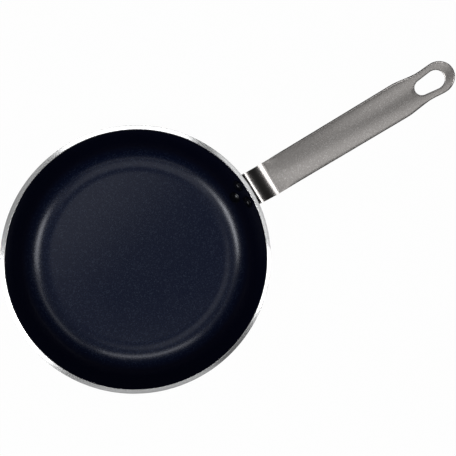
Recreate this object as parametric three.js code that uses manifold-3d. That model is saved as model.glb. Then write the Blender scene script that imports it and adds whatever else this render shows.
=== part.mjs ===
// A 24 cm nonstick frying pan: a thick pressed aluminium body with a nonstick film inside, and a bent
// steel strip handle held to the wall by three rivets whose heads carry the same film.
// Millimetres, +Z up. The origin is the centre of the base, and the handle points along +X.

import * as THREE from "three";
import { mergeVertices } from "three/addons/utils/BufferGeometryUtils.js";
import Module from "manifold-3d";

// Body
const RIM_DIAMETER = 240;
const PAN_HEIGHT = 40; // from the base to the inner edge of the rim
const SHEET = 4.2; // thickness of the aluminium
const WALL_SLOPE = 70; // degrees up from the floor
const WALL_BEND = 33; // inside radius where the floor turns up into the wall
const RIM_CUT = 14; // degrees that the edge of the rim falls outwards from level

// Nonstick film, drawn thicker than the real 0.04 mm
const FILM = 0.3;
const FILM_GAP = 0.1; // between the film and the metal under it
const FILM_BELOW_RIM = 0.3; // bare metal between the film and the edge of the rim

// Handle strip
const STRIP = 3; // thickness of the steel
const STRIP_WIDTH = 31.8;
const CROWN = 1.5; // how far the middle of the grip stands above its edges
const CROWN_RUN = 14; // from the foot of the grip to the full crown
const FLANGE_GAP = 0.3; // between the wall and the flange riveted to it
const FLANGE_TAIL = 7.5; // flange past the axis of the lower rivet, along the wall
const KNEE_DROP = 1.5; // down the wall from the rim, where the strip leaves the wall
const KNEE_RADIUS = 5;
const KNEE_SLOPE = 53; // degrees, where the knee passes into the long sweep
const SWEEP_RADIUS = 49;
const FOOT_SLOPE = 30; // degrees, where the sweep passes into the tighter bend at the foot of the grip
const FOOT_RADIUS = 22;
const GRIP_SLOPE = 20; // degrees up from the table
const GRIP_LENGTH = 180; // from its foot to the tip
const SHOULDER_FROM_TIP = 52; // where the grip begins to narrow
const NECK_FROM_TIP = 27;
const NECK_WIDTH = 26.5;
const END_RADIUS = 14;
const TIP_FLAT = 3; // width of the short flat that closes each round end

// Pear-shaped hanging slot
const SLOT_SMALL_RADIUS = 6.6;
const SLOT_SMALL_FROM_TIP = 29.2;
const SLOT_LARGE_RADIUS = 8.1;
const SLOT_LARGE_FROM_TIP = 17;

// Rivets
const SHANK_DIAMETER = 5.5;
const BORE_CLEARANCE = 0.25; // between a shank and the bore round it
const HEAD_DIAMETER = 10;
const HEAD_HEIGHT = 1.7;
const TAIL_DIAMETER = 8.4;
const TAIL_HEIGHT = 1.8;
const TAIL_CHAMFER = 0.7;
const SEAT_GAP = 0.3; // between a head or a tail and what it clamps
const UPPER_ROW = 9.2; // from the rim to the rivet axis, along the inside of the wall
const LOWER_ROW = 23.8;
const UPPER_SPACING = 17.4;

// Facets
const PAN_SIDES = 72;
const BEND_STEPS = 8;
const RIVET_SIDES = 20;
const DOME_STEPS = 4;
const STRIP_COLUMNS = 8;
const END_STEPS = 8;
const WRAP_STEPS = 4;
const KNEE_STEPS = 4;
const SWEEP_STEPS = 7;
const FOOT_STEPS = 4;
const CROWN_STEPS = 4;
const SHOULDER_STEPS = 6;
const NECK_STEPS = 3;
const SLOT_STEPS = 10;

const wasm = await Module();
wasm.setup();

const { degToRad, lerp, smoothstep } = THREE.MathUtils;

// A closed geometry as a solid that can be cut.
function solidOf(geometry) {
  const bare = geometry.clone();
  bare.deleteAttribute("normal");
  bare.deleteAttribute("uv");
  const merged = mergeVertices(bare);
  const mesh = new wasm.Mesh({
    numProp: 3,
    vertProperties: new Float32Array(merged.attributes.position.array),
    triVerts: new Uint32Array(merged.index.array),
  });
  return new wasm.Manifold(mesh);
}

// A cut solid back as a geometry.
function geometryOf(solid) {
  const mesh = solid.getMesh();
  const geometry = new THREE.BufferGeometry();
  geometry.setAttribute("position", new THREE.BufferAttribute(mesh.vertProperties, 3));
  geometry.setIndex(new THREE.BufferAttribute(mesh.triVerts, 1));
  geometry.computeVertexNormals();
  return geometry;
}

function cut(geometry, cutters) {
  return geometryOf(cutters.reduce((rest, cutter) => rest.subtract(solidOf(cutter)), solidOf(geometry)));
}

// Section of the pan: flat floor, one bend, then a straight wall whose edge falls a little outwards.
const wallSlope = degToRad(WALL_SLOPE);
const outerRim = RIM_DIAMETER / 2;
const innerRim = outerRim - SHEET * Math.sin(wallSlope);
const wallRun = (PAN_HEIGHT - SHEET - WALL_BEND * (1 - Math.cos(wallSlope))) / Math.sin(wallSlope);
const floorRadius = innerRim - wallRun * Math.cos(wallSlope) - WALL_BEND * Math.sin(wallSlope);
const bendCentre = new THREE.Vector2(floorRadius, SHEET + WALL_BEND);

// Slope of the wall at a distance down its inside face from the rim.
function slopeAt(down) {
  return wallSlope - Math.max(0, down - wallRun) / WALL_BEND;
}

// A point of the wall section: how far down the inside face from the rim, and how far out from that face.
function wallPoint(down, out) {
  const slope = slopeAt(down);
  const above = wallRun - Math.min(down, wallRun);
  return new THREE.Vector2(Math.sin(slope), -Math.cos(slope))
    .multiplyScalar(WALL_BEND + out)
    .add(bendCentre)
    .add(new THREE.Vector2(Math.cos(wallSlope), Math.sin(wallSlope)).multiplyScalar(above));
}

// One face of the wall section, from the edge of the floor up to a distance below the rim.
function wallFace(out, top) {
  const bendLength = WALL_BEND * wallSlope;
  const bend = Array.from({ length: BEND_STEPS + 1 }, (_, i) =>
    wallPoint(wallRun + bendLength * (1 - i / BEND_STEPS), out),
  );
  return [...bend, wallPoint(top, out)];
}

function bodyGeometry() {
  const rimFall = (outerRim - innerRim) * Math.tan(degToRad(RIM_CUT));
  const profile = [
    new THREE.Vector2(0, 0),
    ...wallFace(SHEET, 0).slice(0, -1),
    new THREE.Vector2(outerRim, PAN_HEIGHT - rimFall),
    ...wallFace(0, 0).reverse(),
    new THREE.Vector2(0, SHEET),
  ];
  return new THREE.LatheGeometry(profile, PAN_SIDES).rotateX(Math.PI / 2);
}

function filmGeometry() {
  const under = SHEET + FILM_GAP;
  const profile = [
    new THREE.Vector2(0, under),
    ...wallFace(-FILM_GAP, FILM_BELOW_RIM),
    ...wallFace(-FILM_GAP - FILM, FILM_BELOW_RIM).reverse(),
    new THREE.Vector2(0, under + FILM),
  ];
  return new THREE.LatheGeometry(profile, PAN_SIDES).rotateX(Math.PI / 2);
}

// Rivets, turned about their own axis: y = 0 is the bare inside of the wall, and +y points into the pan.
const headRadius = HEAD_DIAMETER / 2;
const domeRadius = (headRadius ** 2 + HEAD_HEIGHT ** 2) / (2 * HEAD_HEIGHT);
const filmBend = WALL_BEND - FILM_GAP - FILM;
const coatedHead = headRadius + FILM_GAP + FILM;
// How far the wall curves up under the edge of the head.
const bendRise = filmBend - Math.sqrt(filmBend ** 2 - coatedHead ** 2);
const headSeat = FILM_GAP + FILM + bendRise + SEAT_GAP;
const domeCentre = headSeat + HEAD_HEIGHT - domeRadius;

// Rising quarter of a dome over the head, from its edge to the axis.
function domeArc(radius) {
  const edge = Math.asin((headSeat - domeCentre) / radius);
  return Array.from({ length: DOME_STEPS + 1 }, (_, i) => {
    const angle = lerp(edge, Math.PI / 2, i / DOME_STEPS);
    const reach = i === DOME_STEPS ? 0 : radius * Math.cos(angle);
    return new THREE.Vector2(reach, domeCentre + radius * Math.sin(angle));
  });
}

function rivetGeometry() {
  const shank = SHANK_DIAMETER / 2;
  const tail = TAIL_DIAMETER / 2;
  const tailSeat = -(SHEET + FLANGE_GAP + STRIP + SEAT_GAP);
  const profile = [
    new THREE.Vector2(0, tailSeat - TAIL_HEIGHT),
    new THREE.Vector2(tail - TAIL_CHAMFER, tailSeat - TAIL_HEIGHT),
    new THREE.Vector2(tail, tailSeat - TAIL_HEIGHT + TAIL_CHAMFER),
    new THREE.Vector2(tail, tailSeat),
    new THREE.Vector2(shank, tailSeat),
    new THREE.Vector2(shank, headSeat),
    ...domeArc(domeRadius),
  ];
  return new THREE.LatheGeometry(profile, RIVET_SIDES);
}

function headFilmGeometry() {
  const inner = domeArc(domeRadius + FILM_GAP).reverse();
  const outer = domeArc(domeRadius + FILM_GAP + FILM);
  return new THREE.LatheGeometry([...inner, ...outer], RIVET_SIDES);
}

function boreGeometry() {
  const radius = SHANK_DIAMETER / 2 + BORE_CLEARANCE;
  const length = 2 * (SHEET + FLANGE_GAP + STRIP + TAIL_HEIGHT);
  return new THREE.CylinderGeometry(radius, radius, length, RIVET_SIDES);
}

// Places of the rivets: a group turned about the pan's axis holds a seat square to the wall.
const upperTurn = Math.asin(UPPER_SPACING / 2 / wallPoint(UPPER_ROW, 0).x);
const rivetSites = [
  { name: "lower", down: LOWER_ROW, turn: 0 },
  { name: "upper_left", down: UPPER_ROW, turn: upperTurn },
  { name: "upper_right", down: UPPER_ROW, turn: -upperTurn },
].map(({ name, down, turn }) => {
  const place = new THREE.Group();
  place.rotation.z = turn;
  const seat = new THREE.Group();
  const point = wallPoint(down, 0);
  const slope = slopeAt(down);
  seat.position.set(point.x, 0, point.y);
  seat.quaternion.setFromUnitVectors(
    new THREE.Vector3(0, 1, 0),
    new THREE.Vector3(-Math.sin(slope), 0, Math.cos(slope)),
  );
  place.add(seat);
  seat.updateWorldMatrix(true, false);
  return { name, place, seat };
});
const bores = rivetSites.map(({ seat }) => boreGeometry().applyMatrix4(seat.matrixWorld));

// Handle: rows of points across the strip, one row for each station of its side path.
// A station is a point of the face that looks at the pan, its slope, its half width, how far it wraps
// round the wall (1 on the flange) and how much of the crown it has (1 on the grip).
const halfWidth = STRIP_WIDTH / 2;
const kneeSlope = degToRad(KNEE_SLOPE);
const footSlope = degToRad(FOOT_SLOPE);
const gripSlope = degToRad(GRIP_SLOPE);

// Distances from a round end and half widths there, from the short flat to the full width.
function roundEnd(radius) {
  const first = Math.asin(TIP_FLAT / 2 / radius);
  return Array.from({ length: END_STEPS + 1 }, (_, i) => {
    const angle = lerp(first, Math.PI / 2, i / END_STEPS);
    return { back: radius * (1 - Math.cos(angle)), half: radius * Math.sin(angle) };
  });
}

function flangeStations() {
  const out = SHEET + FLANGE_GAP;
  const stretch = (WALL_BEND + out) / WALL_BEND; // the flange bends on a larger radius than the inside wall
  const end = LOWER_ROW + FLANGE_TAIL;
  const stations = roundEnd(halfWidth).map(({ back, half }) => ({
    down: end - back / stretch,
    half,
    wrap: 1,
  }));
  for (let i = 0; i <= WRAP_STEPS; i += 1) {
    const down = lerp(UPPER_ROW, KNEE_DROP, i / WRAP_STEPS);
    stations.push({ down, half: halfWidth, wrap: 1 - smoothstep(i, 0, WRAP_STEPS) });
  }
  return stations.map(({ down, half, wrap }) => {
    const point = wallPoint(down, out);
    return { x: point.x, z: point.y, slope: slopeAt(down), half, wrap, crown: 0 };
  });
}

// Stations of a bend that carries on from the last one. The strip is flat across it.
function bendStations(from, toSlope, radius, steps) {
  return Array.from({ length: steps }, (_, i) => {
    const share = (i + 1) / steps;
    const slope = lerp(from.slope, toSlope, share);
    return {
      x: from.x + radius * (Math.sin(from.slope) - Math.sin(slope)),
      z: from.z + radius * (Math.cos(slope) - Math.cos(from.slope)),
      slope,
      half: halfWidth,
      wrap: 0,
      crown: 0,
    };
  });
}

// Distance along the grip, half width and share of the crown: straight, shoulder, neck, round end.
function gripOutline() {
  const neck = NECK_WIDTH / 2;
  const outline = [];
  for (let i = 1; i <= CROWN_STEPS; i += 1) {
    const share = i / CROWN_STEPS;
    outline.push({ along: CROWN_RUN * share, half: halfWidth, crown: smoothstep(share, 0, 1) });
  }
  for (let i = 0; i <= SHOULDER_STEPS; i += 1) {
    const share = i / SHOULDER_STEPS;
    outline.push({
      along: GRIP_LENGTH - lerp(SHOULDER_FROM_TIP, NECK_FROM_TIP, share),
      half: lerp(halfWidth, neck, smoothstep(share, 0, 1)),
    });
  }
  for (let i = 1; i < NECK_STEPS; i += 1) {
    const share = i / NECK_STEPS;
    outline.push({
      along: GRIP_LENGTH - lerp(NECK_FROM_TIP, END_RADIUS, share),
      half: lerp(neck, END_RADIUS, smoothstep(share, 0, 1)),
    });
  }
  const end = roundEnd(END_RADIUS).reverse();
  return [...outline, ...end.map(({ back, half }) => ({ along: GRIP_LENGTH - back, half }))];
}

// One row of the strip as a closed ring: the face that looks at the pan, then the underside back again.
function stationRing({ x, z, slope, half, wrap, crown }) {
  const up = new THREE.Vector3(-Math.sin(slope), 0, Math.cos(slope));
  const face = Array.from({ length: STRIP_COLUMNS + 1 }, (_, i) => {
    const y = lerp(-half, half, i / STRIP_COLUMNS);
    const round = wrap * (x - Math.sqrt(x ** 2 - y ** 2));
    const fall = crown * CROWN * (y / halfWidth) ** 2;
    return new THREE.Vector3(x - round, y, z).addScaledVector(up, -fall);
  });
  const under = face.map((point) => point.clone().addScaledVector(up, -STRIP)).reverse();
  return [...face, ...under];
}

// Closed skin through a row of rings, with a flat cap on each end.
function loft(rings) {
  const size = rings[0].length;
  const columns = size / 2 - 1;
  const index = [];
  const quad = (a, b, c, d) => index.push(a, b, c, a, c, d);
  for (let row = 0; row + 1 < rings.length; row += 1) {
    for (let i = 0; i < size; i += 1) {
      const next = (i + 1) % size;
      quad(row * size + i, (row + 1) * size + i, (row + 1) * size + next, row * size + next);
    }
  }
  const last = (rings.length - 1) * size;
  for (let i = 0; i < columns; i += 1) {
    const under = size - 1 - i;
    quad(i, i + 1, under - 1, under);
    quad(last + i, last + under, last + under - 1, last + i + 1);
  }
  const geometry = new THREE.BufferGeometry().setFromPoints(rings.flat());
  geometry.setIndex(index);
  geometry.computeVertexNormals();
  return geometry;
}

function slotGeometry(gripFrame) {
  const small = GRIP_LENGTH - SLOT_SMALL_FROM_TIP;
  const large = GRIP_LENGTH - SLOT_LARGE_FROM_TIP;
  const lean = Math.asin((SLOT_LARGE_RADIUS - SLOT_SMALL_RADIUS) / (large - small));
  const side = Math.PI / 2 + lean;
  const shape = new THREE.Shape();
  shape.absarc(large, 0, SLOT_LARGE_RADIUS, -side, side, false);
  shape.absarc(small, 0, SLOT_SMALL_RADIUS, side, 2 * Math.PI - side, false);
  const reach = STRIP + CROWN;
  const cutter = { depth: 3 * reach, bevelEnabled: false, curveSegments: SLOT_STEPS };
  return new THREE.ExtrudeGeometry(shape, cutter)
    .translate(0, 0, -2 * reach)
    .applyMatrix4(gripFrame);
}

function handleGeometry() {
  const stations = flangeStations();
  stations.push(...bendStations(stations.at(-1), kneeSlope, KNEE_RADIUS, KNEE_STEPS));
  stations.push(...bendStations(stations.at(-1), footSlope, SWEEP_RADIUS, SWEEP_STEPS));
  stations.push(...bendStations(stations.at(-1), gripSlope, FOOT_RADIUS, FOOT_STEPS));
  const start = stations.at(-1);
  const along = new THREE.Vector3(Math.cos(gripSlope), 0, Math.sin(gripSlope));
  gripOutline().forEach(({ along: distance, half, crown = 1 }) => {
    stations.push({
      ...start,
      x: start.x + distance * along.x,
      z: start.z + distance * along.z,
      half,
      crown,
    });
  });
  const across = new THREE.Vector3(0, 1, 0);
  const gripFrame = new THREE.Matrix4()
    .makeBasis(along, across, along.clone().cross(across))
    .setPosition(start.x, 0, start.z);
  return cut(loft(stations.map(stationRing)), [slotGeometry(gripFrame), ...bores]);
}

// Finishes
function bareAluminium() {
  return new THREE.MeshStandardMaterial({ color: 0xc9cacc, roughness: 0.32, metalness: 1 });
}

function nonstickBlack() {
  return new THREE.MeshStandardMaterial({ color: 0x14161f, roughness: 0.45, metalness: 0 });
}

function satinSteel() {
  return new THREE.MeshStandardMaterial({ color: 0x8f8c89, roughness: 0.4, metalness: 1 });
}

function piece(name, geometry, material) {
  const mesh = new THREE.Mesh(geometry, material);
  mesh.name = name;
  return mesh;
}

const pan = new THREE.Group();
pan.add(
  piece("pan_body", cut(bodyGeometry(), bores), bareAluminium()),
  piece("nonstick_coating", cut(filmGeometry(), bores), nonstickBlack()),
  piece("handle", handleGeometry(), satinSteel()),
);
rivetSites.forEach(({ name, place, seat }) => {
  seat.add(piece(`rivet_${name}`, rivetGeometry(), bareAluminium()));
  seat.add(piece(`rivet_coating_${name}`, headFilmGeometry(), nonstickBlack()));
  pan.add(place);
});

export default pan;
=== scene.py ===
# %% [markdown]
# A nonstick frying pan, dressed in Blender.
# The pan is a thick pressed aluminium body with a dark film baked on its inside. A bent steel strip
# is riveted to the wall as its handle, and the rivet heads inside carry the same film.
# The CAD model gives every size and place, so each piece below is drawn straight into that frame.

# %% Load the frame
import math
import bmesh
import bpy
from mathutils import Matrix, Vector


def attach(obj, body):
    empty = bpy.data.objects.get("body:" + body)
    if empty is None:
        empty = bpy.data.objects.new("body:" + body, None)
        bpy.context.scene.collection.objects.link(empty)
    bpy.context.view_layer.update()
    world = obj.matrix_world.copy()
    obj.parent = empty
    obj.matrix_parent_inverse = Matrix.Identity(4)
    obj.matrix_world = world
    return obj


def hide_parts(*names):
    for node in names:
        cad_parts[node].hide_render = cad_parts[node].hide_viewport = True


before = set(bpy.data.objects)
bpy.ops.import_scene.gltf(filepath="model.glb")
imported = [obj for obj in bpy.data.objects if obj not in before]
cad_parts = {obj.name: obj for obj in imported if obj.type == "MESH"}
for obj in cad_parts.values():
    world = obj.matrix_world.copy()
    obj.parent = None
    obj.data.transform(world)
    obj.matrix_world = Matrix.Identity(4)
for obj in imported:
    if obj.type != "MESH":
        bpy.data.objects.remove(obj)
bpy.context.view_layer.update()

bpy.context.scene.view_settings.view_transform = "Standard"
print("CAD nodes:", sorted(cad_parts))

# %% [markdown]
# Sizes come first. They are the sizes of the CAD model in metres, because a scene that repeats them
# as names can be read, measured and corrected, and one with bare numbers can't.

# %% Sizes of the pan body and its film
MM = 0.001
RIM_RADIUS = 120 * MM
PAN_HEIGHT = 40 * MM  # from the base to the inner edge of the rim
SHEET = 4.2 * MM  # thickness of the aluminium
WALL_SLOPE = math.radians(70)  # up from the floor
WALL_BEND = 33 * MM  # inside radius where the floor turns up into the wall
RIM_CUT = math.radians(14)  # how far the edge of the rim falls outwards from level
FILM = 0.3 * MM
FILM_GAP = 0.1 * MM  # between the film and the metal under it
FILM_BELOW_RIM = 0.3 * MM  # bare metal between the film and the edge of the rim

inner_rim = RIM_RADIUS - SHEET * math.sin(WALL_SLOPE)
wall_run = (PAN_HEIGHT - SHEET - WALL_BEND * (1 - math.cos(WALL_SLOPE))) / math.sin(WALL_SLOPE)
floor_radius = inner_rim - wall_run * math.cos(WALL_SLOPE) - WALL_BEND * math.sin(WALL_SLOPE)
bend_length = WALL_BEND * WALL_SLOPE
print(f"floor {2 * floor_radius / MM:.1f} mm across, straight wall {wall_run / MM:.1f} mm long")

# %% A point of the wall section
def slope_at(down):
    """Slope of the wall at a distance down its inside face from the rim."""
    return WALL_SLOPE - max(0.0, down - wall_run) / WALL_BEND


def wall_point(down, out):
    """(radius, height) at a distance down from the rim and a distance out from the inside face."""
    slope = slope_at(down)
    above = wall_run - min(down, wall_run)
    reach = WALL_BEND + out
    return (
        floor_radius + reach * math.sin(slope) + above * math.cos(WALL_SLOPE),
        SHEET + WALL_BEND - reach * math.cos(slope) + above * math.sin(WALL_SLOPE),
    )


def in_mm(lengths):
    """Lengths as rounded millimetres, for printing."""
    return [round(length / MM, 2) for length in lengths]


print("rim at radius and height, mm:", in_mm(wall_point(0, 0)))

# %% [markdown]
# The body is pressed and turned, so it is a shape of revolution. It could be pulled up ring by ring
# from a disc, but a lathe is nearer to how it is made: half of its section is drawn as a chain of
# edges, by pulling one vertex from point to point, and the chain is spun round the upright axis.
# The same two helpers later make the film, the rivets and their caps.

# %% Helpers that draw and spin a section
WELD = 0.002 * MM  # vertices closer than this are one, as on the axis and at the seam


def deselect_all():
    """Clears the selection, because an operator acts on all that is selected."""
    bpy.ops.object.select_all(action="DESELECT")


def draw_section(name, points):
    """A chain of edges in the XZ plane through points of (radius, height)."""
    deselect_all()
    bpy.ops.mesh.primitive_plane_add(size=MM)
    piece = bpy.context.object
    piece.name = name
    piece.data.name = name
    bpy.ops.object.mode_set(mode="EDIT")
    bpy.ops.mesh.merge(type="CENTER")
    radius, height = points[0]
    bpy.ops.transform.translate(value=(radius, 0, height))
    for (r0, z0), (r1, z1) in zip(points, points[1:]):
        step = (r1 - r0, 0, z1 - z0)
        bpy.ops.mesh.extrude_vertices_move(TRANSFORM_OT_translate={"value": step})
    bpy.ops.object.mode_set(mode="OBJECT")
    return piece


def spin_section(piece, steps):
    """Spins a drawn section into a closed ring of faces that point outwards."""
    bpy.ops.object.mode_set(mode="EDIT")
    bpy.ops.mesh.select_all(action="SELECT")
    bpy.ops.mesh.spin(steps=steps, angle=2 * math.pi, center=(0, 0, 0), axis=(0, 0, 1))
    bpy.ops.mesh.select_all(action="SELECT")
    bpy.ops.mesh.remove_doubles(threshold=WELD)
    bpy.ops.mesh.normals_make_consistent(inside=False)
    bpy.ops.object.mode_set(mode="OBJECT")

# %% Helpers that finish and measure a piece
SHARP_FROM = 35  # degrees between two faces, from which their edge stays sharp


def finish_with(piece, kind, **settings):
    """Adds one modifier with these settings and applies it."""
    modifier = piece.modifiers.new(kind.lower(), kind)
    for key, value in settings.items():
        setattr(modifier, key, value)
    bpy.context.view_layer.objects.active = piece
    bpy.ops.object.modifier_apply(modifier=modifier.name)


def thicken(piece, thickness, side):
    """Gives a skin its thickness, on the side that its faces look to (1) or on the other (-1)."""
    finish_with(piece, "SOLIDIFY", thickness=thickness, offset=side, use_even_offset=True, use_rim=True)


def select_vertices(piece, wanted):
    """Selects in edit mode the vertices for which wanted(vertex) is true."""
    mesh = bmesh.from_edit_mesh(piece.data)
    for vertex in mesh.verts:
        vertex.select = wanted(vertex)
    mesh.select_flush_mode()
    bmesh.update_edit_mesh(piece.data)


def smooth(piece, sharp_from=SHARP_FROM):
    """Shades a piece smooth, apart from its sharp edges."""
    deselect_all()
    piece.select_set(True)
    bpy.context.view_layer.objects.active = piece
    bpy.ops.object.shade_smooth_by_angle(angle=math.radians(sharp_from))


def tell(piece):
    """Prints the count of faces and the box of a piece."""
    corners = [piece.matrix_world @ Vector(corner) for corner in piece.bound_box]
    low = in_mm(min(along) for along in zip(*corners))
    high = in_mm(max(along) for along in zip(*corners))
    print(f"{piece.name}: {len(piece.data.polygons)} faces, from {low} to {high} mm")

# %% Draw and spin the inside skin of the body
BODY_STEPS = 240
BEND_ROWS = 28
WALL_ROWS = 6
FLOOR_RINGS = (0.0, 0.3, 0.6, 0.85, 0.985)  # as shares of the floor's radius


def skin_section(out, top):
    """Section of one skin of the pan, from the middle of the floor up to a distance below the rim."""
    floor_height = wall_point(wall_run + bend_length, out)[1]
    section = [(floor_radius * share, floor_height) for share in FLOOR_RINGS]
    for i in range(BEND_ROWS + 1):
        section.append(wall_point(wall_run + bend_length * (1 - i / BEND_ROWS), out))
    for i in range(1, WALL_ROWS + 1):
        section.append(wall_point(wall_run + (top - wall_run) * i / WALL_ROWS, out))
    return section


body = draw_section("pan_body_turned", skin_section(0, 0))
spin_section(body, BODY_STEPS)
tell(body)

# %% [markdown]
# The skin gets the thickness of the sheet with Solidify, which also closes the rim with a face that is
# square to the wall. On the real pan the rim was turned a little flatter, so its outer ring of vertices
# is lifted. A small bevel then takes the sharpness off each of the rim's two edges.
# The bores of the rivets are cut last, with plain pins as cutters.

# %% Thickness and rim of the body
RIM_ROUND_INSIDE = 0.5 * MM
RIM_ROUND_OUTSIDE = 0.35 * MM
ROUND_SEGMENTS = 4
square_drop = SHEET * math.cos(WALL_SLOPE)
cut_drop = (RIM_RADIUS - inner_rim) * math.tan(RIM_CUT)


def select_ring(piece, radius, height):
    """Selects the ring of vertices at this radius and height."""
    near = 0.05 * MM
    select_vertices(
        piece, lambda v: abs(math.hypot(v.co.x, v.co.y) - radius) < near and abs(v.co.z - height) < near
    )


thicken(body, SHEET, 1)
bpy.ops.object.mode_set(mode="EDIT")
bpy.ops.mesh.select_mode(type="VERT")
select_ring(body, RIM_RADIUS, PAN_HEIGHT - square_drop)
bpy.ops.transform.translate(value=(0, 0, square_drop - cut_drop))
bpy.ops.mesh.bevel(offset=RIM_ROUND_OUTSIDE, segments=ROUND_SEGMENTS, affect="EDGES")
select_ring(body, inner_rim, PAN_HEIGHT)
bpy.ops.mesh.bevel(offset=RIM_ROUND_INSIDE, segments=ROUND_SEGMENTS, affect="EDGES")
bpy.ops.object.mode_set(mode="OBJECT")
tell(body)

# %% Places of the rivets
SHANK_RADIUS = 2.75 * MM
BORE_CLEARANCE = 0.25 * MM
UPPER_ROW = 9.2 * MM  # down the wall from the rim to the rivet axis
LOWER_ROW = 23.8 * MM
UPPER_SPACING = 17.4 * MM
upper_turn = math.asin(UPPER_SPACING / 2 / wall_point(UPPER_ROW, 0)[0])
RIVET_SITES = {
    "lower": (LOWER_ROW, 0.0),
    "upper_left": (UPPER_ROW, upper_turn),
    "upper_right": (UPPER_ROW, -upper_turn),
}


def rivet_seat(site):
    """Place and turn that put an upright rivet square to the wall at its site."""
    down, turn = RIVET_SITES[site]
    radius, height = wall_point(down, 0)
    place = (radius * math.cos(turn), radius * math.sin(turn), height)
    return place, (0, -slope_at(down), turn)


print("rivet seats, mm:", {site: in_mm(rivet_seat(site)[0]) for site in RIVET_SITES})

# %% Cut the bores
BORE_SIDES = 40
BORE_REACH = 30 * MM


def cut_away(piece, cutter):
    """Cuts the shape of the cutter out of a piece, and takes the cutter away."""
    finish_with(piece, "BOOLEAN", operation="DIFFERENCE", solver="EXACT", object=cutter)
    bpy.data.objects.remove(cutter)


def bore(piece):
    """Cuts the three rivet bores through a piece."""
    for site in RIVET_SITES:
        place, turn = rivet_seat(site)
        deselect_all()
        bpy.ops.mesh.primitive_cylinder_add(
            vertices=BORE_SIDES,
            radius=SHANK_RADIUS + BORE_CLEARANCE,
            depth=BORE_REACH,
            location=place,
            rotation=turn,
        )
        cut_away(piece, bpy.context.object)


bore(body)
smooth(body)
finish_with(body, "WEIGHTED_NORMAL", mode="FACE_AREA", keep_sharp=True)
tell(body)

# %% [markdown]
# The nonstick film is sprayed on and baked. It covers the floor and the wall and stops just below the
# rim. It is the same turned section, drawn a little inside the metal, so it follows the body exactly.

# %% Turn the film
film = draw_section("nonstick_film_turned", skin_section(-FILM_GAP - FILM, FILM_BELOW_RIM))
spin_section(film, BODY_STEPS)
thicken(film, FILM, 1)
bore(film)
smooth(film)
tell(film)

# %% [markdown]
# A rivet is a pin with a domed head inside the pan and a set tail outside, where it was hammered flat.
# Its head stands on the film. One upright rivet is spun, and a copy of it goes to each of the three sites.

# %% Section of a rivet
HEAD_RADIUS = 5 * MM
HEAD_HEIGHT = 1.7 * MM
TAIL_RADIUS = 4.2 * MM
TAIL_HEIGHT = 1.8 * MM
TAIL_ROUND = 0.9 * MM
SEAT_GAP = 0.3 * MM  # between a head or a tail and what it clamps
FLANGE_GAP = 0.3 * MM  # between the wall and the flange of the handle
STRIP = 3 * MM  # thickness of the steel
DOME_STEPS = 14
TAIL_STEPS = 6
RIVET_STEPS = 64

dome_radius = (HEAD_RADIUS**2 + HEAD_HEIGHT**2) / (2 * HEAD_HEIGHT)
film_bend = WALL_BEND - FILM_GAP - FILM
coated_head = HEAD_RADIUS + FILM_GAP + FILM
bend_rise = film_bend - math.sqrt(film_bend**2 - coated_head**2)
head_seat = FILM_GAP + FILM + bend_rise + SEAT_GAP
dome_centre = head_seat + HEAD_HEIGHT - dome_radius
tail_seat = -(SHEET + FLANGE_GAP + STRIP + SEAT_GAP)


def dome_arc(radius):
    """Rising arc of a dome over the head, from its edge to the axis."""
    edge = math.asin((head_seat - dome_centre) / radius)
    arc = []
    for i in range(DOME_STEPS + 1):
        angle = edge + (math.pi / 2 - edge) * i / DOME_STEPS
        arc.append((radius * math.cos(angle), dome_centre + radius * math.sin(angle)))
    arc[-1] = (0.0, dome_centre + radius)
    return arc


def tail_arc():
    """Rounded edge of the set tail, from its flat end up to its widest."""
    middle = (TAIL_RADIUS - TAIL_ROUND, tail_seat - TAIL_HEIGHT + TAIL_ROUND)
    angles = [math.pi / 2 * i / TAIL_STEPS for i in range(TAIL_STEPS + 1)]
    return [
        (middle[0] + TAIL_ROUND * math.sin(angle), middle[1] - TAIL_ROUND * math.cos(angle))
        for angle in angles
    ]


rivet_section = [
    (0, tail_seat - TAIL_HEIGHT),
    *tail_arc(),
    (TAIL_RADIUS, tail_seat),
    (SHANK_RADIUS, tail_seat),
    (SHANK_RADIUS, head_seat),
    *dome_arc(dome_radius),
]
print(f"rivet: {(dome_centre + dome_radius - tail_seat + TAIL_HEIGHT) / MM:.1f} mm long")

# %% Spin one rivet and copy it to its sites
RIVET_SHARP_FROM = 40


def seat_copies(pattern, stem):
    """Copies an upright piece to each rivet site, each copy with its own mesh at its final place."""
    copies = {}
    for site in RIVET_SITES:
        deselect_all()
        pattern.select_set(True)
        bpy.context.view_layer.objects.active = pattern
        bpy.ops.object.duplicate(linked=False)
        copy = bpy.context.object
        copy.name = f"{stem}_{site}"
        copy.data.name = copy.name
        copy.location, copy.rotation_euler = rivet_seat(site)
        bpy.ops.object.transform_apply(location=True, rotation=True, scale=True)
        tell(copy)
        copies[site] = copy
    bpy.data.objects.remove(pattern)
    return copies


upright_rivet = draw_section("upright_rivet", rivet_section)
spin_section(upright_rivet, RIVET_STEPS)
smooth(upright_rivet, RIVET_SHARP_FROM)
rivets = seat_copies(upright_rivet, "rivet_turned")

# %% [markdown]
# Each head was coated together with the pan, so it wears a thin cap of film, painted black as painted
# shade. The cap is a closed shell between two domes, spun in the same way.

# %% Caps of film on the heads
CAP_EDGE = 0.12 * MM
CAP_SHARP_FROM = 50
outer_dome = dome_arc(dome_radius + FILM_GAP + FILM)
inner_dome = dome_arc(dome_radius + FILM_GAP)
edge_radius, edge_height = outer_dome[0]
softened = [(edge_radius - CAP_EDGE, edge_height), (edge_radius, edge_height + CAP_EDGE)]
cap_section = inner_dome[::-1] + softened + outer_dome[1:]
upright_cap = draw_section("upright_cap", cap_section)
spin_section(upright_cap, RIVET_STEPS)
smooth(upright_cap, CAP_SHARP_FROM)
caps = seat_copies(upright_cap, "rivet_cap")

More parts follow.
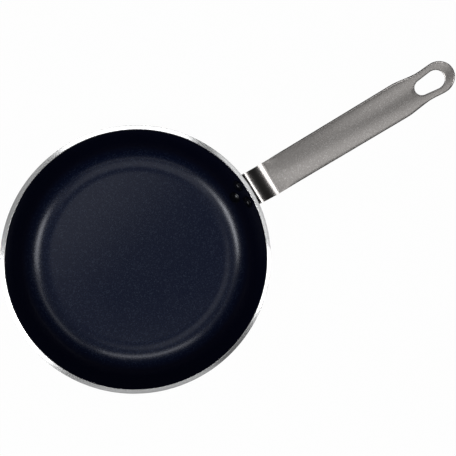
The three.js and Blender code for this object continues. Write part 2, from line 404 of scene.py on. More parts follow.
# %% [markdown]
# The handle is one strip of steel. In the workshop it is cut flat, punched, crowned and then bent, and
# it can be modelled in the same order. A flat grid is the blank. Its rows are scaled to the outline,
# a slit along its middle is opened into the pear-shaped hanging slot, and then each row is turned and
# moved to its station on the side path: up the flange, round the knee, along the sweep, round the
# tighter bend at the foot of the grip and out to the tip. Rows of quads stay clean for the tiny bevel
# that breaks the edges, where a boolean cut of the slot would leave slivers.

# %% Sizes of the handle
STRIP_WIDTH = 31.8 * MM
CROWN = 1.5 * MM  # how far the middle of the grip stands above its edges
CROWN_RUN = 14 * MM  # from the foot of the grip to the full crown
FLANGE_TAIL = 7.5 * MM  # flange past the axis of the lower rivet, along the wall
KNEE_DROP = 1.5 * MM  # down the wall from the rim, where the strip leaves the wall
KNEE_RADIUS = 5 * MM
KNEE_SLOPE = math.radians(53)  # where the knee passes into the sweep
SWEEP_RADIUS = 49 * MM
FOOT_SLOPE = math.radians(30)  # where the sweep passes into the bend at the foot of the grip
FOOT_RADIUS = 22 * MM
GRIP_SLOPE = math.radians(20)  # up from the table
GRIP_LENGTH = 180 * MM  # from its foot to the tip
SHOULDER_FROM_TIP = 52 * MM  # where the grip begins to narrow
NECK_FROM_TIP = 27 * MM
NECK_WIDTH = 26.5 * MM
END_RADIUS = 14 * MM
TIP_FLAT = 3 * MM  # width of the short flat that closes each round end
SLOT_SMALL_RADIUS = 6.6 * MM
SLOT_SMALL_FROM_TIP = 29.2 * MM
SLOT_LARGE_RADIUS = 8.1 * MM
SLOT_LARGE_FROM_TIP = 17 * MM
half_width = STRIP_WIDTH / 2
print(f"strip {STRIP_WIDTH / MM:.1f} x {STRIP / MM:.1f} mm")

# %% Stations of the flange, the knee, the sweep and the foot of the grip
END_ROWS = 14
FLANGE_ROWS = 10
WRAP_ROWS = 8
KNEE_ROWS = 8
SWEEP_ROWS = 20
FOOT_ROWS = 10


def ease(share):
    """A share of 0 to 1 with a soft start and end."""
    share = min(1.0, max(0.0, share))
    return share * share * (3 - 2 * share)


def round_end(radius):
    """Distances back from a round end and the half widths there."""
    first = math.asin(TIP_FLAT / 2 / radius)
    angles = [first + (math.pi / 2 - first) * i / END_ROWS for i in range(END_ROWS + 1)]
    return [(radius * (1 - math.cos(angle)), radius * math.sin(angle)) for angle in angles]


def flange_stations():
    """Rows from the round end of the flange up the wall to the knee.

    Each row has its place, its slope and half its width. Wrap is how far it follows the round wall.
    """
    out = SHEET + FLANGE_GAP
    stretch = (WALL_BEND + out) / WALL_BEND  # the flange bends on a larger radius than the inside wall
    end = LOWER_ROW + FLANGE_TAIL
    rows = [(end - back / stretch, half, 1.0) for back, half in round_end(half_width)]
    start = rows[-1][0]
    for i in range(1, FLANGE_ROWS):
        rows.append((start + (UPPER_ROW - start) * i / FLANGE_ROWS, half_width, 1.0))
    for i in range(WRAP_ROWS + 1):
        share = i / WRAP_ROWS
        rows.append((UPPER_ROW + (KNEE_DROP - UPPER_ROW) * share, half_width, 1 - ease(share)))
    made = []
    for down, half, wrap in rows:
        x, z = wall_point(down, out)
        slope = slope_at(down)
        made.append({"x": x, "z": z, "slope": slope, "half": half, "wrap": wrap, "crown": 0.0})
    return made


def bend_stations(start, to_slope, radius, rows):
    """Rows of one bend, from a station to a slope."""
    made = []
    for i in range(1, rows + 1):
        slope = start["slope"] + (to_slope - start["slope"]) * i / rows
        made.append({
            "x": start["x"] + radius * (math.sin(start["slope"]) - math.sin(slope)),
            "z": start["z"] + radius * (math.cos(slope) - math.cos(start["slope"])),
            "slope": slope,
            "half": half_width,
            "wrap": 0.0,
            "crown": 0.0,
        })
    return made


stations = flange_stations()
stations += bend_stations(stations[-1], KNEE_SLOPE, KNEE_RADIUS, KNEE_ROWS)
stations += bend_stations(stations[-1], FOOT_SLOPE, SWEEP_RADIUS, SWEEP_ROWS)
stations += bend_stations(stations[-1], GRIP_SLOPE, FOOT_RADIUS, FOOT_ROWS)
grip_start = stations[-1]
print("grip starts at x and z, mm:", in_mm((grip_start["x"], grip_start["z"])))

# %% Outline of the grip and of its slot
GRIP_ROWS = 24
SHOULDER_ROWS = 14
NECK_ROWS = 6
SLOT_END_ROWS = 12
slot_lean = math.asin(
    (SLOT_LARGE_RADIUS - SLOT_SMALL_RADIUS) / (SLOT_SMALL_FROM_TIP - SLOT_LARGE_FROM_TIP)
)


def grip_half(from_tip):
    """Half width of the grip at a distance from its tip."""
    neck = NECK_WIDTH / 2
    if from_tip < END_RADIUS:
        return math.sqrt(max(0.0, END_RADIUS**2 - (END_RADIUS - from_tip) ** 2))
    if from_tip < NECK_FROM_TIP:
        share = (from_tip - END_RADIUS) / (NECK_FROM_TIP - END_RADIUS)
        return END_RADIUS + (neck - END_RADIUS) * ease(share)
    share = (from_tip - NECK_FROM_TIP) / (SHOULDER_FROM_TIP - NECK_FROM_TIP)
    return neck + (half_width - neck) * ease(share)


def slot_half(from_tip):
    """Half width of the slot at a distance from the tip, zero at its two ends."""
    narrow = SLOT_SMALL_FROM_TIP + SLOT_SMALL_RADIUS * math.sin(slot_lean)
    wide = SLOT_LARGE_FROM_TIP + SLOT_LARGE_RADIUS * math.sin(slot_lean)
    if from_tip >= narrow:
        return math.sqrt(max(0.0, SLOT_SMALL_RADIUS**2 - (from_tip - SLOT_SMALL_FROM_TIP) ** 2))
    if from_tip <= wide:
        return math.sqrt(max(0.0, SLOT_LARGE_RADIUS**2 - (from_tip - SLOT_LARGE_FROM_TIP) ** 2))
    share = (from_tip - wide) / (narrow - wide)
    ends = SLOT_LARGE_RADIUS * math.cos(slot_lean), SLOT_SMALL_RADIUS * math.cos(slot_lean)
    return ends[0] + (ends[1] - ends[0]) * share


def slot_rows():
    """Distances from the tip of the rows that draw the two round ends of the slot."""
    quarter = [math.pi / 2 * i / SLOT_END_ROWS for i in range(SLOT_END_ROWS + 1)]
    narrow = [SLOT_SMALL_FROM_TIP + SLOT_SMALL_RADIUS * math.cos(angle) for angle in quarter]
    wide = [SLOT_LARGE_FROM_TIP - SLOT_LARGE_RADIUS * math.cos(angle) for angle in quarter]
    return narrow + wide[::-1]


print("slot, mm from the tip:", in_mm((slot_rows()[0], slot_rows()[-1])))

# %% Stations of the grip
ROW_SPACE = 0.28 * MM  # least distance of a row from the rows of the slot


def grip_stations():
    """Rows from the foot of the grip to its tip. Those of the slot are kept, and others keep clear."""
    rows = slot_rows()
    slot_near, slot_far = rows[-1], rows[0]
    straight = GRIP_LENGTH - SHOULDER_FROM_TIP
    others = [GRIP_LENGTH - straight * i / GRIP_ROWS for i in range(1, GRIP_ROWS + 1)]
    others += [
        SHOULDER_FROM_TIP + (NECK_FROM_TIP - SHOULDER_FROM_TIP) * i / SHOULDER_ROWS
        for i in range(1, SHOULDER_ROWS + 1)
    ]
    others += [NECK_FROM_TIP + (END_RADIUS - NECK_FROM_TIP) * i / NECK_ROWS for i in range(1, NECK_ROWS)]
    others += [back for back, _ in round_end(END_RADIUS)]
    tip = min(others)
    for from_tip in sorted(others):
        if from_tip == tip or all(abs(from_tip - row) > ROW_SPACE for row in rows):
            rows.append(from_tip)
    made = []
    for from_tip in sorted(rows, reverse=True):
        along = GRIP_LENGTH - from_tip
        made.append({
            **grip_start,
            "x": grip_start["x"] + along * math.cos(GRIP_SLOPE),
            "z": grip_start["z"] + along * math.sin(GRIP_SLOPE),
            "half": grip_half(from_tip),
            "crown": ease(along / CROWN_RUN),
            "slot": slot_half(from_tip) if slot_near <= from_tip <= slot_far else None,
        })
    return made


stations += grip_stations()
flat_place = [0.0]
for near, far in zip(stations, stations[1:]):
    step = math.hypot(far["x"] - near["x"], far["z"] - near["z"])
    flat_place.append(flat_place[-1] + step)
print(f"{len(stations)} rows, flat blank {flat_place[-1] / MM:.1f} mm long")

# %% The blank: a grid whose rows are scaled to the outline
COLUMNS = 24
GRID_DIGITS = 5  # enough to tell the rows of the grid apart
deselect_all()
bpy.ops.mesh.primitive_grid_add(x_subdivisions=len(stations) - 1, y_subdivisions=COLUMNS, size=1)
handle = bpy.context.object
handle.name = "handle_strip"
handle.data.name = "handle_strip"

grid_place_of = {v.index: round(v.co.x, GRID_DIGITS) for v in handle.data.vertices}
grid_places = sorted(set(grid_place_of.values()))
row_of = {index: grid_places.index(place) for index, place in grid_place_of.items()}
bpy.ops.object.mode_set(mode="EDIT")
bpy.ops.mesh.select_mode(type="VERT")
for row, station in enumerate(stations):
    select_vertices(handle, lambda v: row_of[v.index] == row)
    at = (grid_places[row], 0, 0)
    bpy.ops.transform.resize(value=(1, 2 * station["half"], 1), center_override=at)
    bpy.ops.transform.translate(value=(flat_place[row] - at[0], 0, 0))
bpy.ops.object.mode_set(mode="OBJECT")
tell(handle)

# %% Draw the last column but one out to the edge, where the edge will be rolled
EDGE_COLUMN = 0.75 * MM
NEAR = 0.01 * MM  # vertices are found by their place to within this
bpy.ops.object.mode_set(mode="EDIT")
for row, station in enumerate(stations):
    inside = station["half"] * (1 - 2 / COLUMNS)
    drawn_out = station["half"] - EDGE_COLUMN
    if station.get("slot") is None and drawn_out > inside:
        select_vertices(handle, lambda v: row_of[v.index] == row and abs(abs(v.co.y) - inside) < NEAR)
        at = (flat_place[row], 0, 0)
        bpy.ops.transform.resize(value=(1, drawn_out / inside, 1), center_override=at)
bpy.ops.object.mode_set(mode="OBJECT")
tell(handle)

# %% Open the slit into the slot
slotted = [row for row, station in enumerate(stations) if station.get("slot") is not None]
slot_start, slot_end = flat_place[slotted[0]], flat_place[slotted[-1]]
bpy.ops.object.mode_set(mode="EDIT")
bpy.ops.mesh.select_mode(type="EDGE")
blank = bmesh.from_edit_mesh(handle.data)
for edge in blank.edges:
    ends = [v.co for v in edge.verts]
    on_middle = all(abs(c.y) < NEAR for c in ends)
    edge.select = on_middle and all(slot_start - NEAR < c.x < slot_end + NEAR for c in ends)
bmesh.update_edit_mesh(handle.data)
bpy.ops.mesh.edge_split(type="EDGE")
blank = bmesh.from_edit_mesh(handle.data)
side_of = {}
for face in blank.faces:
    side = 1 if face.calc_center_median().y > 0 else -1
    for vertex in face.verts:
        side_of.setdefault(vertex.index, set()).add(side)
print("vertices after the slit:", len(blank.verts))
bpy.ops.mesh.select_mode(type="VERT")
for row in slotted[1:-1]:
    station = stations[row]
    for side in (1, -1):
        select_vertices(
            handle, lambda v: abs(v.co.x - flat_place[row]) < NEAR and side_of[v.index] == {side}
        )
        edge_point = (flat_place[row], side * station["half"], 0)
        narrowed = (station["half"] - station["slot"]) / station["half"]
        bpy.ops.transform.resize(value=(1, narrowed, 1), center_override=edge_point)
bpy.ops.object.mode_set(mode="OBJECT")
tell(handle)

# %% [markdown]
# The grip is crowned, so its middle stands above its edges, and the flange is hollowed to hug the
# round wall. Both are a displacement across the strip that grows with the square of the distance from
# its middle. The press also rolled the edges of the grip and of its slot down a little, which no bevel
# on such narrow faces could do. Three weight groups hold the shares, and a Displace modifier lifts or
# lowers by weight.

# %% Shares of the crown, the rolled edge and the hollow
EDGE_ROLL = 0.55 * MM
EDGE_ROLL_RUN = 0.8 * MM  # in from the edge, over which it rolls down
WRAP_MOST = 1.2  # a weight ends at 1, so the hollow's shares are kept as parts of this


def row_at(place):
    """The row that lies nearest to a place along the flat blank."""
    return min(range(len(stations)), key=lambda row: abs(flat_place[row] - place))


def edge_distance(from_tip, aside):
    """Distance on the flat grip to its outline or to its slot, whichever is nearer."""
    outline = grip_half(from_tip) - abs(aside)
    if from_tip < END_RADIUS:
        outline = END_RADIUS - math.hypot(END_RADIUS - from_tip, aside)
    narrow = math.hypot(from_tip - SLOT_SMALL_FROM_TIP, aside) - SLOT_SMALL_RADIUS
    wide = math.hypot(from_tip - SLOT_LARGE_FROM_TIP, aside) - SLOT_LARGE_RADIUS
    slot = min(narrow, wide)
    if SLOT_LARGE_FROM_TIP < from_tip < SLOT_SMALL_FROM_TIP:
        slot = min(slot, abs(aside) - slot_half(from_tip))
    return max(0.0, min(outline, slot))


knee_reach = wall_point(KNEE_DROP, SHEET + FLANGE_GAP)[0]  # from the axis of the pan to the knee
wrap_depth = half_width**2 / (2 * knee_reach)
print(f"the round wall falls back {wrap_depth / MM:.2f} mm over half the strip's width")

# %% Crown the grip, roll its edges and hollow the flange
LIFTS = {"crown": -CROWN, "roll": -EDGE_ROLL, "wrap": wrap_depth * WRAP_MOST}
groups = {name: handle.vertex_groups.new(name=name) for name in LIFTS}
for vertex in handle.data.vertices:
    station = stations[row_at(vertex.co.x)]
    share = (vertex.co.y / half_width) ** 2
    radius_share = knee_reach / station["x"]
    hug = station["wrap"] * share * radius_share * math.sin(station["slope"])
    near_edge = 1 - edge_distance(flat_place[-1] - vertex.co.x, vertex.co.y) / EDGE_ROLL_RUN
    groups["crown"].add([vertex.index], min(1.0, station["crown"] * share), "REPLACE")
    groups["roll"].add([vertex.index], station["crown"] * max(0.0, near_edge) ** 2, "REPLACE")
    groups["wrap"].add([vertex.index], min(1.0, hug / WRAP_MOST), "REPLACE")
for name, lift in LIFTS.items():
    finish_with(handle, "DISPLACE", strength=lift, mid_level=0, direction="Z", vertex_group=name)
handle.vertex_groups.clear()
tell(handle)

# %% Bend the strip, row by row
row_of = {v.index: row_at(v.co.x) for v in handle.data.vertices}
bpy.ops.object.mode_set(mode="EDIT")
for row, station in enumerate(stations):
    select_vertices(handle, lambda v: row_of[v.index] == row)
    at = (flat_place[row], 0, 0)
    bpy.ops.transform.rotate(value=station["slope"], orient_axis="Y", center_override=at)
    bpy.ops.transform.translate(value=(station["x"] - at[0], 0, station["z"]))
bpy.ops.object.mode_set(mode="OBJECT")
tell(handle)

# %% Thickness, rounded edges and bores of the strip
EDGE_ROUND = 0.7 * MM  # at most: the bevel narrows itself so that close rows don't overlap
EDGE_SEGMENTS = 4
EDGE_ANGLE = math.radians(50)
thicken(handle, STRIP, -1)
finish_with(
    handle,
    "BEVEL",
    width=EDGE_ROUND,
    segments=EDGE_SEGMENTS,
    limit_method="ANGLE",
    angle_limit=EDGE_ANGLE,
)
bore(handle)
smooth(handle)
finish_with(handle, "WEIGHTED_NORMAL", mode="FACE_AREA", keep_sharp=True)
tell(handle)

# %% [markdown]
# Every piece stands for its CAD node and rides on the one body that the part has.

# %% Hand the pieces to the frame
def stand_for(piece, node):
    """Lets a piece ride on the body and stand for a node."""
    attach(piece, "root")
    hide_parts(node)


stand_for(body, "pan_body")
stand_for(film, "nonstick_coating")
stand_for(handle, "handle")
for site in RIVET_SITES:
    stand_for(rivets[site], f"rivet_{site}")
    stand_for(caps[site], f"rivet_coating_{site}")

# %% [markdown]
# Now the finishes. The film, the blasted steel and the rivets share one effect, a fine grain, so that is a
# node group with two inputs: the place on the surface, and how fine the grain is there. It gives a height
# for bump and a mask of flecks.

# %% The fine grain group
GRAIN_DETAIL = 2.0
FLECK_CELLS = 0.9  # per grain
FLECK_FROM, FLECK_TO = 0.72, 1.0  # a cell has a random number of 0 to 1, and high ones are flecks


def add(tree, kind, **settings):
    """A node of this kind with these settings."""
    node = tree.nodes.new(kind)
    for key, value in settings.items():
        setattr(node, key, value)
    return node


def mask(tree, value, start, end):
    """A share that runs from 0 at one value to 1 at another."""
    node = add(tree, "ShaderNodeMapRange")
    node.inputs["From Min"].default_value = start
    node.inputs["From Max"].default_value = end
    tree.links.new(value, node.inputs["Value"])
    return node.outputs["Result"]


grain = bpy.data.node_groups.new("fine_grain", "ShaderNodeTree")
grain.interface.new_socket("Place", in_out="INPUT", socket_type="NodeSocketVector")
grain.interface.new_socket("Grains per metre", in_out="INPUT", socket_type="NodeSocketFloat")
grain.interface.new_socket("Height", in_out="OUTPUT", socket_type="NodeSocketFloat")
grain.interface.new_socket("Flecks", in_out="OUTPUT", socket_type="NodeSocketFloat")
grain_in = add(grain, "NodeGroupInput")
grain_out = add(grain, "NodeGroupOutput")
scaled = add(grain, "ShaderNodeVectorMath", operation="SCALE")
soft = add(grain, "ShaderNodeTexNoise", noise_dimensions="3D")
soft.inputs["Scale"].default_value = 1.0
soft.inputs["Detail"].default_value = GRAIN_DETAIL
cells = add(grain, "ShaderNodeTexVoronoi", feature="F1", voronoi_dimensions="3D")
cells.inputs["Scale"].default_value = FLECK_CELLS
apart = add(grain, "ShaderNodeSeparateColor")
grain.links.new(grain_in.outputs["Place"], scaled.inputs[0])
grain.links.new(grain_in.outputs["Grains per metre"], scaled.inputs["Scale"])
grain.links.new(scaled.outputs[0], soft.inputs["Vector"])
grain.links.new(scaled.outputs[0], cells.inputs["Vector"])
grain.links.new(soft.outputs[0], grain_out.inputs["Height"])
grain.links.new(cells.outputs["Color"], apart.inputs["Color"])
grain.links.new(mask(grain, apart.outputs["Red"], FLECK_FROM, FLECK_TO), grain_out.inputs["Flecks"])
print("group:", grain.name, [s.name for s in grain.interface.items_tree])

# %% Helpers that mix
# A Mix node has sockets for every kind of data, and these are the ones for colours and for numbers.
MIX_SHARE = 0
FIRST_COLOUR, SECOND_COLOUR, MIXED_COLOUR = 6, 7, 2
FIRST_NUMBER, SECOND_NUMBER, MIXED_NUMBER = 2, 3, 0


def blend(tree, share, first, second):
    """A colour between two, by a share of 0 to 1. Each is written out or comes from another node."""
    node = add(tree, "ShaderNodeMix", data_type="RGBA")
    tree.links.new(share, node.inputs[MIX_SHARE])
    for index, colour in ((FIRST_COLOUR, first), (SECOND_COLOUR, second)):
        if isinstance(colour, tuple):
            node.inputs[index].default_value = (*colour, 1)
        else:
            tree.links.new(colour, node.inputs[index])
    return node.outputs[MIXED_COLOUR]


def between(tree, share, first, second):
    """A number between two that come from other nodes, by a share of 0 to 1."""
    node = add(tree, "ShaderNodeMix", data_type="FLOAT")
    tree.links.new(share, node.inputs[MIX_SHARE])
    tree.links.new(first, node.inputs[FIRST_NUMBER])
    tree.links.new(second, node.inputs[SECOND_NUMBER])
    return node.outputs[MIXED_NUMBER]


def ramp(tree, share, low, high):
    """Spreads a share of 0 to 1 between two numbers."""
    node = add(tree, "ShaderNodeMapRange")
    node.inputs["To Min"].default_value = low
    node.inputs["To Max"].default_value = high
    tree.links.new(share, node.inputs["Value"])
    return node.outputs["Result"]


def combine(tree, operation, first, second):
    """The sum, product or other combination of two numbers."""
    node = add(tree, "ShaderNodeMath", operation=operation)
    tree.links.new(first, node.inputs[0])
    tree.links.new(second, node.inputs[1])
    return node.outputs[0]

# %% Helpers for a material
def start_material(name):
    """A material with a Principled shader, an output and Object coordinates."""
    material = bpy.data.materials.new(name)
    material.use_nodes = True
    tree = material.node_tree
    tree.nodes.clear()
    shader = add(tree, "ShaderNodeBsdfPrincipled")
    output = add(tree, "ShaderNodeOutputMaterial")
    place = add(tree, "ShaderNodeTexCoord")
    tree.links.new(shader.outputs["BSDF"], output.inputs["Surface"])
    return material, tree, shader, place.outputs["Object"]


def axes(tree, place):
    """The X, Y and Z of a place or a direction."""
    node = add(tree, "ShaderNodeSeparateXYZ")
    tree.links.new(place, node.inputs[0])
    return node.outputs


def noise(tree, place, per_metre, detail):
    """Soft patches, so many to a metre."""
    node = add(tree, "ShaderNodeTexNoise", noise_dimensions="3D")
    node.inputs["Scale"].default_value = per_metre
    node.inputs["Detail"].default_value = detail
    tree.links.new(place, node.inputs["Vector"])
    return node.outputs[0]


def grained(tree, place, per_metre):
    """The height and the flecks of the fine grain."""
    node = add(tree, "ShaderNodeGroup", node_tree=grain)
    node.inputs["Grains per metre"].default_value = per_metre
    tree.links.new(place, node.inputs["Place"])
    return node.outputs["Height"], node.outputs["Flecks"]


def bumped(tree, shader, height, strength, distance):
    """Lets a height roughen the surface."""
    node = add(tree, "ShaderNodeBump")
    node.inputs["Strength"].default_value = strength
    node.inputs["Distance"].default_value = distance
    tree.links.new(height, node.inputs["Height"])
    tree.links.new(node.outputs["Normal"], shader.inputs["Normal"])


def put_on(material, *pieces):
    """Gives pieces one material."""
    for piece in pieces:
        piece.data.materials.clear()
        piece.data.materials.append(material)
    print(material.name, "on", [p.name for p in pieces])

# %% [markdown]
# The film is a very dark blue-black with fine flecks in it. Its colour is painted by place: on the floor
# it is its own dark blue with a painted blue sheen, and on the wall it is painted black as painted shade.
# The height above the base tells the two apart, and the colour is the same from every side. It is
# semi-matt, and the bend at the edge of the floor shows the softboxes as a soft bright line.

# %% Nonstick film
# Painted shade and sheen: the wall is painted black as shade, and the floor's blue is the film's own tone
# with a painted blue sheen.
WALL_PAINTED_SHADE = (0.0020, 0.0024, 0.0104)
FLOOR_BLUE_AND_SHEEN = (0.0012, 0.0058, 0.0290)
FLOOR_FLECK = (0.0220, 0.0330, 0.0660)
WALL_SHADE_FROM, WALL_SHADE_FULL = SHEET + 2.6 * MM, SHEET + 11.6 * MM
FILM_SHINE = (0.91, 0.93, 1.0)
FILM_IOR = 1.5
FILM_ROUGHNESS = (0.18, 0.24)
FILM_GRAINS = 1300
FILM_PATCHES, FILM_PATCH_DETAIL = 35, 3.0
FILM_BUMP, FILM_BUMP_HEIGHT = 0.25, 0.05 * MM


def start_film(name, roughness):
    """A film material that only lacks its colour, with the mask of its flecks."""
    material, tree, shader, place = start_material(name)
    height, flecks = grained(tree, place, FILM_GRAINS)
    patch = noise(tree, place, FILM_PATCHES, FILM_PATCH_DETAIL)
    tree.links.new(ramp(tree, patch, *roughness), shader.inputs["Roughness"])
    shader.inputs["IOR"].default_value = FILM_IOR
    shader.inputs["Specular Tint"].default_value = (*FILM_SHINE, 1)
    bumped(tree, shader, height, FILM_BUMP, FILM_BUMP_HEIGHT)
    return material, tree, shader, place, flecks


pan_film, tree, shader, place, flecks = start_film("nonstick_film", FILM_ROUGHNESS)
# Painted shade: the film is painted black up the wall, by its height above the base.
wall_shade_share = mask(tree, axes(tree, place)["Z"], WALL_SHADE_FROM, WALL_SHADE_FULL)
floor_tone_and_sheen = blend(tree, flecks, FLOOR_BLUE_AND_SHEEN, FLOOR_FLECK)
tree.links.new(blend(tree, wall_shade_share, floor_tone_and_sheen, WALL_PAINTED_SHADE), shader.inputs["Base Color"])
put_on(pan_film, film)

# %% Film on the rivet heads
# Painted shade: the caps carry the same film as the pan, painted near black and darker than it.
CAP_PAINTED_BLACK_SHADE = (0.0009, 0.0010, 0.0024)
CAP_FLECK = (0.0030, 0.0036, 0.0070)
CAP_ROUGHNESS = (0.20, 0.27)
cap_film, tree, shader, place, flecks = start_film("rivet_film", CAP_ROUGHNESS)
tree.links.new(blend(tree, flecks, CAP_PAINTED_BLACK_SHADE, CAP_FLECK), shader.inputs["Base Color"])
put_on(cap_film, *caps.values())

# %% [markdown]
# The handle is stainless steel, blasted to a satin. Its grain is about as fine as the film's, and its
# roughness wanders a little, as on any handled metal. The bend by the rim was blasted less, so it is
# smoother, and it is painted darker as painted shade. The place along the strip tells the two apart.
# The cut edges are painted darker still, as painted shade. They are found by the direction of the
# surface: an edge looks sideways, and the two broad faces look up and down.

# %% Satin steel
STEEL_DARK = (0.520, 0.495, 0.478)
STEEL_LIGHT = (0.690, 0.664, 0.648)
# Painted shade: the bend by the rim is painted darker than the satin grip.
STEEL_BEND_PAINTED_SHADE = (0.320, 0.306, 0.298)
# Painted shade: the cut edges are painted near black.
STEEL_EDGE_PAINTED_SHADE = (0.080, 0.075, 0.072)
EDGE_SHADE_START, EDGE_SHADE_END = 0.60, 0.30  # how squarely a surface still faces up or down there
BLAST_FROM, BLAST_TO = 133 * MM, 140 * MM  # from the axis of the pan, along the handle
PITS_TO = 150 * MM
BEND_ROUGHNESS = (0.13, 0.18)
GRIP_ROUGHNESS = (0.24, 0.28)
STEEL_GRAINS = 1500
STEEL_PATCHES, STEEL_PATCH_DETAIL = 60, 4.0
STEEL_BUMP, STEEL_BUMP_HEIGHT = 0.19, 0.03 * MM
steel, tree, shader, place = start_material("satin_steel")
height, flecks = grained(tree, place, STEEL_GRAINS)
patch = noise(tree, place, STEEL_PATCHES, STEEL_PATCH_DETAIL)
along = axes(tree, place)["X"]
blasted = mask(tree, along, BLAST_FROM, BLAST_TO)
looks = add(tree, "ShaderNodeTexCoord")
upward = add(tree, "ShaderNodeVectorMath", operation="DOT_PRODUCT")
upward.inputs[1].default_value = (-math.sin(GRIP_SLOPE), 0, math.cos(GRIP_SLOPE))
tree.links.new(looks.outputs["Normal"], upward.inputs[0])
broad = add(tree, "ShaderNodeMath", operation="ABSOLUTE")
tree.links.new(upward.outputs["Value"], broad.inputs[0])
# Painted shade along the edges, found by which way the surface looks.
painted_edge_shade = mask(tree, broad.outputs[0], EDGE_SHADE_START, EDGE_SHADE_END)
satin = blend(tree, flecks, STEEL_DARK, STEEL_LIGHT)
# Painted shade in the bend, by the place along the strip. The grip keeps its satin grain.
face = blend(tree, blasted, STEEL_BEND_PAINTED_SHADE, satin)
tree.links.new(blend(tree, painted_edge_shade, face, STEEL_EDGE_PAINTED_SHADE), shader.inputs["Base Color"])
bend_roughness = ramp(tree, patch, *BEND_ROUGHNESS)
grip_roughness = ramp(tree, patch, *GRIP_ROUGHNESS)
tree.links.new(between(tree, blasted, bend_roughness, grip_roughness), shader.inputs["Roughness"])
shader.inputs["Metallic"].default_value = 1.0
pitted = combine(tree, "MULTIPLY", height, mask(tree, along, BLAST_TO, PITS_TO))
bumped(tree, shader, pitted, STEEL_BUMP, STEEL_BUMP_HEIGHT)
put_on(steel, handle)

# %% [markdown]
# The bare aluminium was turned on a lathe, so fine rings run round it. A noise that reads only the
# distance from the axis and the height draws them. The rim was cut last and is bright. The outside has
# dulled in use, so it is darker and rougher, and the height above the base tells the two apart.

# %% Turned aluminium
ALUMINIUM_DARK = (0.74, 0.745, 0.75)
ALUMINIUM_LIGHT = (0.84, 0.845, 0.85)
DULL_DARK = (0.46, 0.465, 0.47)
DULL_LIGHT = (0.56, 0.565, 0.57)
DULL_BELOW, BRIGHT_ABOVE = PAN_HEIGHT - 2.6 * MM, PAN_HEIGHT - 1.6 * MM
DULL_ROUGHNESS = (0.30, 0.40)
BRIGHT_ROUGHNESS = (0.15, 0.23)
RINGS_PER_METRE, RING_DETAIL = 3500, 3.0
RING_BUMP, RING_BUMP_HEIGHT = 0.12, 0.02 * MM
aluminium, tree, shader, place = start_material("turned_aluminium")
spot = axes(tree, place)
level = add(tree, "ShaderNodeCombineXYZ")
tree.links.new(spot["X"], level.inputs["X"])
tree.links.new(spot["Y"], level.inputs["Y"])
from_axis = add(tree, "ShaderNodeVectorMath", operation="LENGTH")
tree.links.new(level.outputs[0], from_axis.inputs[0])
turned = add(tree, "ShaderNodeTexNoise", noise_dimensions="1D")
turned.inputs["Scale"].default_value = RINGS_PER_METRE
turned.inputs["Detail"].default_value = RING_DETAIL
tree.links.new(combine(tree, "ADD", from_axis.outputs["Value"], spot["Z"]), turned.inputs["W"])
rings = turned.outputs[0]
bright = mask(tree, spot["Z"], DULL_BELOW, BRIGHT_ABOVE)
dull_colour = blend(tree, rings, DULL_DARK, DULL_LIGHT)
bright_colour = blend(tree, rings, ALUMINIUM_DARK, ALUMINIUM_LIGHT)
tree.links.new(blend(tree, bright, dull_colour, bright_colour), shader.inputs["Base Color"])
dull_roughness = ramp(tree, rings, *DULL_ROUGHNESS)
bright_roughness = ramp(tree, rings, *BRIGHT_ROUGHNESS)
tree.links.new(between(tree, bright, dull_roughness, bright_roughness), shader.inputs["Roughness"])
shader.inputs["Metallic"].default_value = 1.0
bumped(tree, shader, rings, RING_BUMP, RING_BUMP_HEIGHT)
put_on(aluminium, body)

# %% [markdown]
# The rivets are aluminium too, but they were headed and hammered and not turned. So they have the fine
# grain in place of the rings.

# %% Rivet metal
RIVET_ROUGHNESS = (0.24, 0.36)
RIVET_GRAINS = 2600
RIVET_BUMP, RIVET_BUMP_HEIGHT = 0.2, 0.03 * MM
rivet_metal, tree, shader, place = start_material("rivet_aluminium")
height, flecks = grained(tree, place, RIVET_GRAINS)
tree.links.new(blend(tree, flecks, ALUMINIUM_DARK, ALUMINIUM_LIGHT), shader.inputs["Base Color"])
tree.links.new(ramp(tree, height, *RIVET_ROUGHNESS), shader.inputs["Roughness"])
shader.inputs["Metallic"].default_value = 1.0
bumped(tree, shader, height, RIVET_BUMP, RIVET_BUMP_HEIGHT)
put_on(rivet_metal, *rivets.values())

# %% [markdown]
# The studio: a pale floor, a dim sky that is darker near the horizon, and softboxes all round and
# overhead. Each softbox is an area lamp, given by where it stands as seen from the pan and by how bright
# its face is. A face of brightness B and area A needs a power of pi times B times A.

# %% Softboxes
SOFTBOX_REACH = 2.6
SOFTBOXES = {
    # name: azimuth, elevation, width and height in degrees, brightness
    "left_main": (171.5, 48.5, 22, 8, 9.0),
    "left_side": (191, 51.5, 17, 8, 3.6),
    "right_main": (313, 50.5, 17, 11, 5.6),
    "back": (60, 55.0, 38, 7, 3.2),
    "left_fill": (127, 54.5, 36, 4, 0.50),
    "right_fill": (354, 49.0, 30, 5, 1.25),
    "front": (242.7, 46.0, 44, 5, 0.58),
    "low_strip": (185, 2.4, 22, 4.8, 8.5),
    "ceiling_front": (240, 65, 38, 20, 0.55),
    "ceiling_back": (100, 83, 24, 15, 0.55),
}


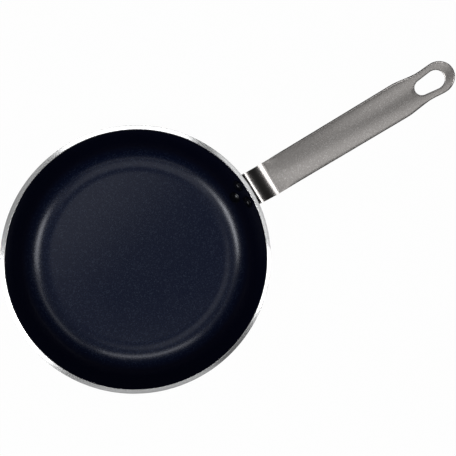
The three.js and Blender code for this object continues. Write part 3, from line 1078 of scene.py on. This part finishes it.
def hang_softbox(name, azimuth, elevation, width, height, brightness):
    """Hangs an area lamp in this direction from the pan, with its face to the pan."""
    lamp = bpy.data.lights.new(f"softbox_{name}", "AREA")
    lamp.shape = "RECTANGLE"
    lamp.size = 2 * SOFTBOX_REACH * math.tan(math.radians(width / 2))
    lamp.size_y = 2 * SOFTBOX_REACH * math.tan(math.radians(height / 2))
    lamp.energy = math.pi * brightness * lamp.size * lamp.size_y
    holder = bpy.data.objects.new(lamp.name, lamp)
    bpy.context.scene.collection.objects.link(holder)
    turn, rise = math.radians(azimuth), math.radians(elevation)
    towards = Vector((math.cos(turn) * math.cos(rise), math.sin(turn) * math.cos(rise), math.sin(rise)))
    holder.location = towards * SOFTBOX_REACH + Vector((0, 0, PAN_HEIGHT))
    holder.rotation_euler = towards.to_track_quat("Z", "Y").to_euler()
    holder.visible_camera = False


for name, values in SOFTBOXES.items():
    hang_softbox(name, *values)
print("softboxes:", list(SOFTBOXES))

# %% Sky
SKY_LOW, SKY_HIGH = 0.02, 0.14
DUSK_FROM, DUSK_TO = math.radians(37), math.radians(45)  # above the horizon
world = bpy.data.worlds.new("studio_sky")
bpy.context.scene.world = world
world.use_nodes = True
tree = world.node_tree
direction = add(tree, "ShaderNodeTexCoord")
upward = axes(tree, direction.outputs["Generated"])["Z"]
above_dusk = mask(tree, upward, math.sin(DUSK_FROM), math.sin(DUSK_TO))
background = tree.nodes["Background"]
background.inputs["Color"].default_value = (1, 1, 1, 1)
tree.links.new(ramp(tree, above_dusk, SKY_LOW, SKY_HIGH), background.inputs["Strength"])
print("sky from", SKY_LOW, "to", SKY_HIGH)

# %% Studio floor
STUDIO_RADIUS = 6.0
STUDIO_SIDES = 96
STUDIO_DROP = 0.2 * MM  # below the base of the pan, so that the two faces don't lie in one plane
deselect_all()
bpy.ops.mesh.primitive_circle_add(
    vertices=STUDIO_SIDES, radius=STUDIO_RADIUS, fill_type="NGON", location=(0, 0, -STUDIO_DROP)
)
studio_floor = bpy.context.object
studio_floor.name = "studio_floor"
print(f"studio floor {2 * STUDIO_RADIUS:.1f} m across")

# %% [markdown]
# The floor is white in the picture, but more light on it would also be more light on the pan. So its
# material shows its own white to the camera and to reflections, apart from a small share. That share is
# a plain matt surface that keeps the pan's shadow, and all other rays meet that surface alone.

# %% Floor material
STUDIO_WHITE = 0.98
STUDIO_PALE = (0.88, 0.88, 0.88)
STUDIO_ROUGHNESS = 0.9
STUDIO_SHINE = 0.1
floor_finish, tree, shader, place = start_material("studio_floor")
shader.inputs["Base Color"].default_value = (*STUDIO_PALE, 1)
shader.inputs["Roughness"].default_value = STUDIO_ROUGHNESS
shader.inputs["Specular IOR Level"].default_value = STUDIO_SHINE
glow = add(tree, "ShaderNodeEmission")
glow.inputs["Strength"].default_value = 1.0
rays = add(tree, "ShaderNodeLightPath").outputs
seen = combine(tree, "MAXIMUM", rays["Is Camera Ray"], rays["Is Glossy Ray"])
seen_through = combine(tree, "MAXIMUM", seen, rays["Is Transmission Ray"])
mixed = add(tree, "ShaderNodeMixShader")
tree.links.new(ramp(tree, seen_through, 0.0, STUDIO_WHITE), mixed.inputs[0])
tree.links.new(shader.outputs[0], mixed.inputs[1])
tree.links.new(glow.outputs[0], mixed.inputs[2])
output = next(node for node in tree.nodes if node.type == "OUTPUT_MATERIAL")
tree.links.new(mixed.outputs[0], output.inputs["Surface"])
put_on(floor_finish, studio_floor)

# %% [markdown]
# The camera looks almost straight down, a little tilted, with the handle running to the upper right.
# Its place and turn were worked out from the outline of the rim and of the strip.

# %% Camera
CAMERA_AT = (-0.009677, 0.049488, 0.608276)
CAMERA_TURN = (-0.8298, -11.3044, -32.3204)  # degrees about X, Y and Z
LENS, SENSOR = 50, 36  # focal length and width, in millimetres
CLIP_NEAR, CLIP_FAR = 0.01, 50
lens = bpy.data.cameras.new("camera")
lens.lens = LENS
lens.sensor_width = SENSOR
lens.clip_start, lens.clip_end = CLIP_NEAR, CLIP_FAR
camera = bpy.data.objects.new("camera", lens)
bpy.context.scene.collection.objects.link(camera)
camera.location = CAMERA_AT
camera.rotation_euler = [math.radians(angle) for angle in CAMERA_TURN]
bpy.context.scene.camera = camera
print("camera at", CAMERA_AT)
